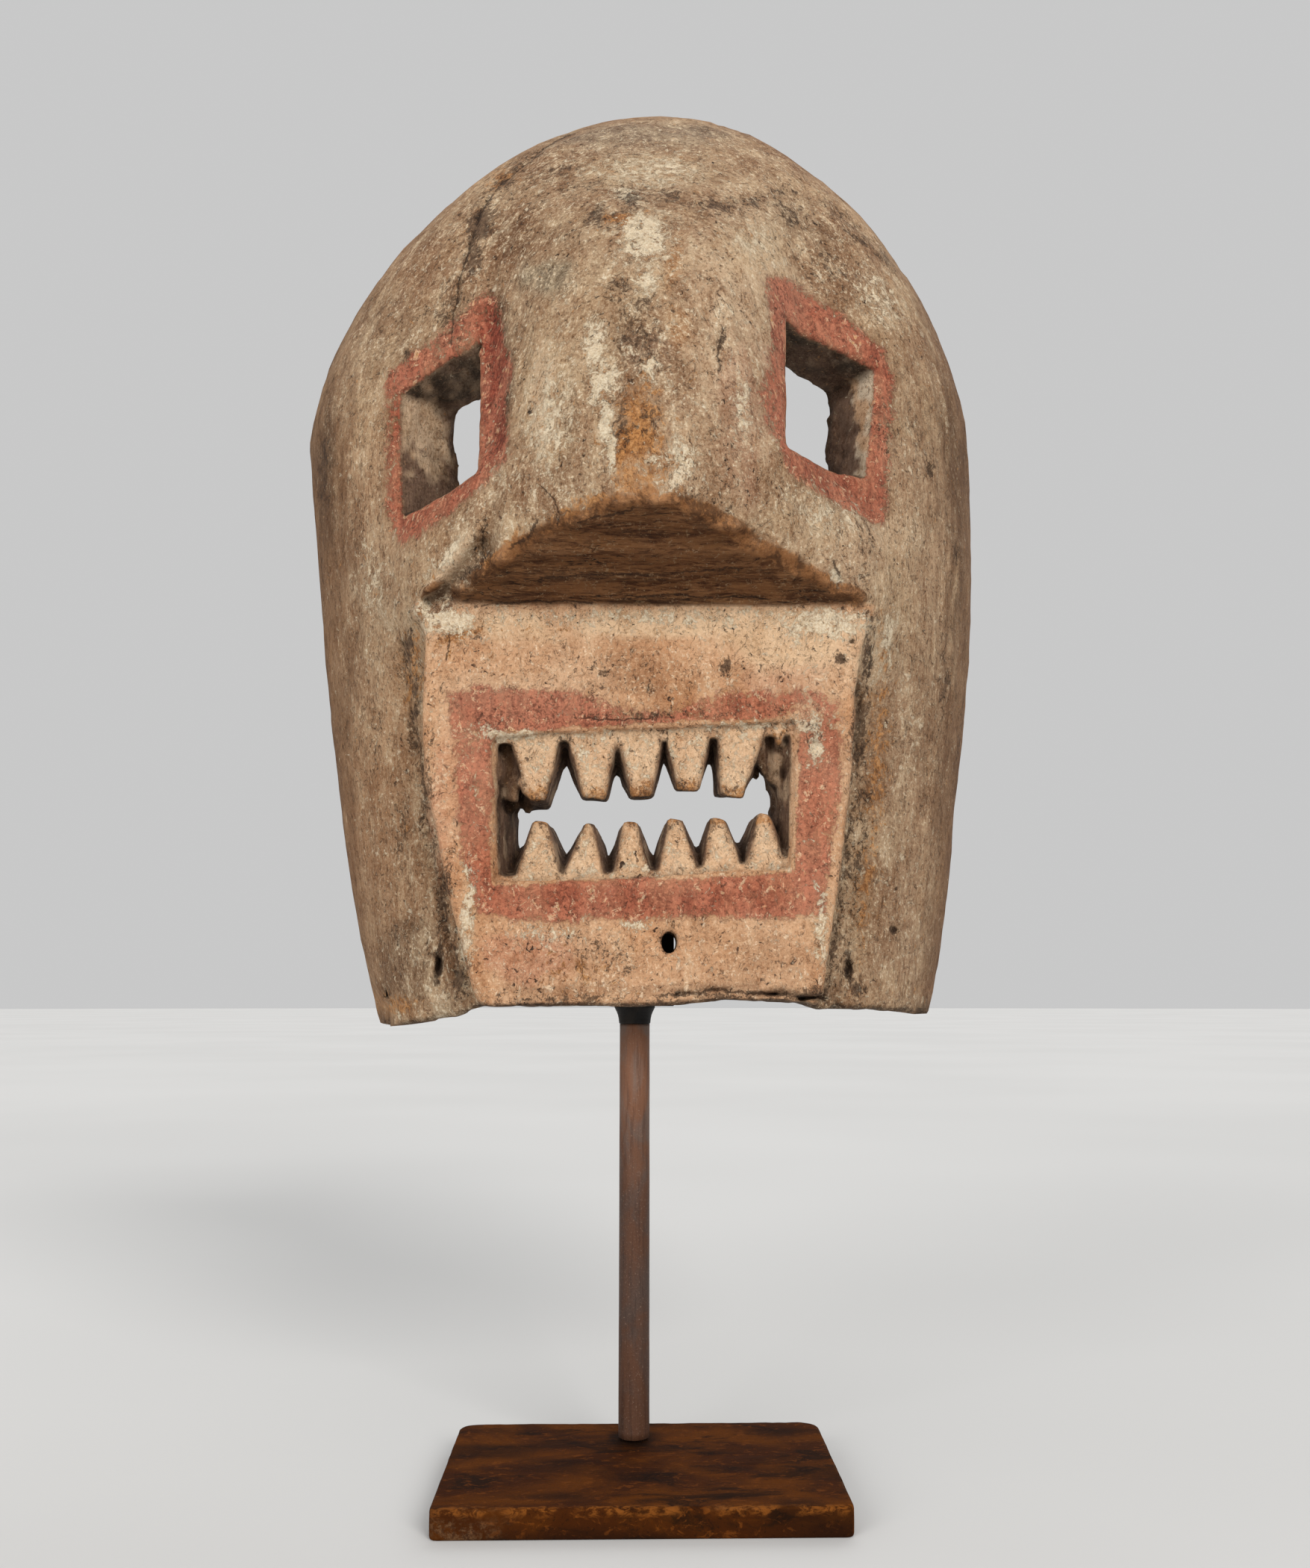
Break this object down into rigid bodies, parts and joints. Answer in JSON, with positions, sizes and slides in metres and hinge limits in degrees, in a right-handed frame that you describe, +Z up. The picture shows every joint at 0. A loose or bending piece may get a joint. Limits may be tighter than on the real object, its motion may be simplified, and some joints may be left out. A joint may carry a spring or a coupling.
{
  "type": "carved wooden animal mask on a rod stand",
  "caption": "Hollow carved wooden animal mask with slanting eye holes, blunt nose and a barred mouth of jagged teeth, upright on a steel rod and plate.",
  "frame": {"origin": "middle of the base plate's underside, on the surface it stands on", "axes": "+Z up, the mask looks along -Y, its open back faces +Y, and +X is to the right as one looks at its face"},
  "size_m": [0.3034, 0.1621, 0.594],
  "materials": {
    "painted_wood": "old dry wood with worn cream and ochre paint and faded red bands round the eyes and mouth",
    "black_steel": "blackened steel, dull",
    "rod_steel": "brown oxidised steel, half dull",
    "rusted_steel": "mottled orange-brown rust over dark steel, dull"
  },
  "bodies": {
    "root": {"mask": "painted_wood", "mount_block": "black_steel", "rod": "rod_steel", "base_plate": "rusted_steel"}
  },
  "joints": []
}
